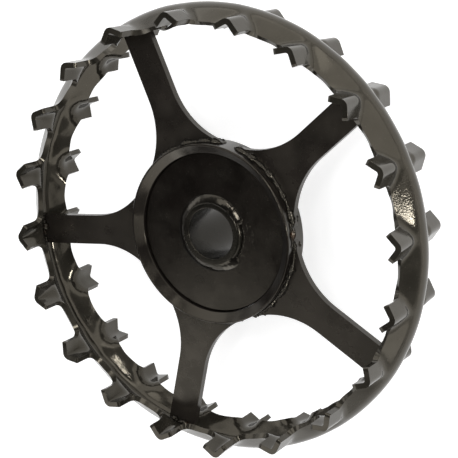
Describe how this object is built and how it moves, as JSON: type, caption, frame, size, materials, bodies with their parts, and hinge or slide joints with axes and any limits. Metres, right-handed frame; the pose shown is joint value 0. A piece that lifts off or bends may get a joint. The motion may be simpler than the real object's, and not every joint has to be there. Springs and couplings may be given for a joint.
{
  "type": "crosskill roller ring",
  "caption": "Toothed land roller ring: a crowned steel rim with roof-shaped teeth on both edges, on flared flat spokes welded to a hub with a plain bore.",
  "frame": {"origin": "on the bore axis, at the plane that the hub tube stands on when the ring lies on its side", "axes": "+Z along the bore, towards the side with the short end of the hub tube; +Y along the first spoke"},
  "size_m": [0.5, 0.5, 0.122],
  "materials": {
    "rim_paint": "gloss black paint",
    "spoke_paint": "gloss black paint",
    "hub_paint": "gloss black paint",
    "tube_paint": "gloss black paint",
    "weld_paint": "gloss black paint"
  },
  "bodies": {
    "root": {"rim": "rim_paint", "spoke_1": "spoke_paint", "spoke_2": "spoke_paint", "spoke_3": "spoke_paint", "spoke_4": "spoke_paint", "spoke_5": "spoke_paint", "hub_ring": "hub_paint", "hub_disc": "hub_paint", "hub_tube": "tube_paint", "weld_rim": "weld_paint", "weld_feet": "weld_paint", "weld_tube": "weld_paint"}
  },
  "joints": []
}
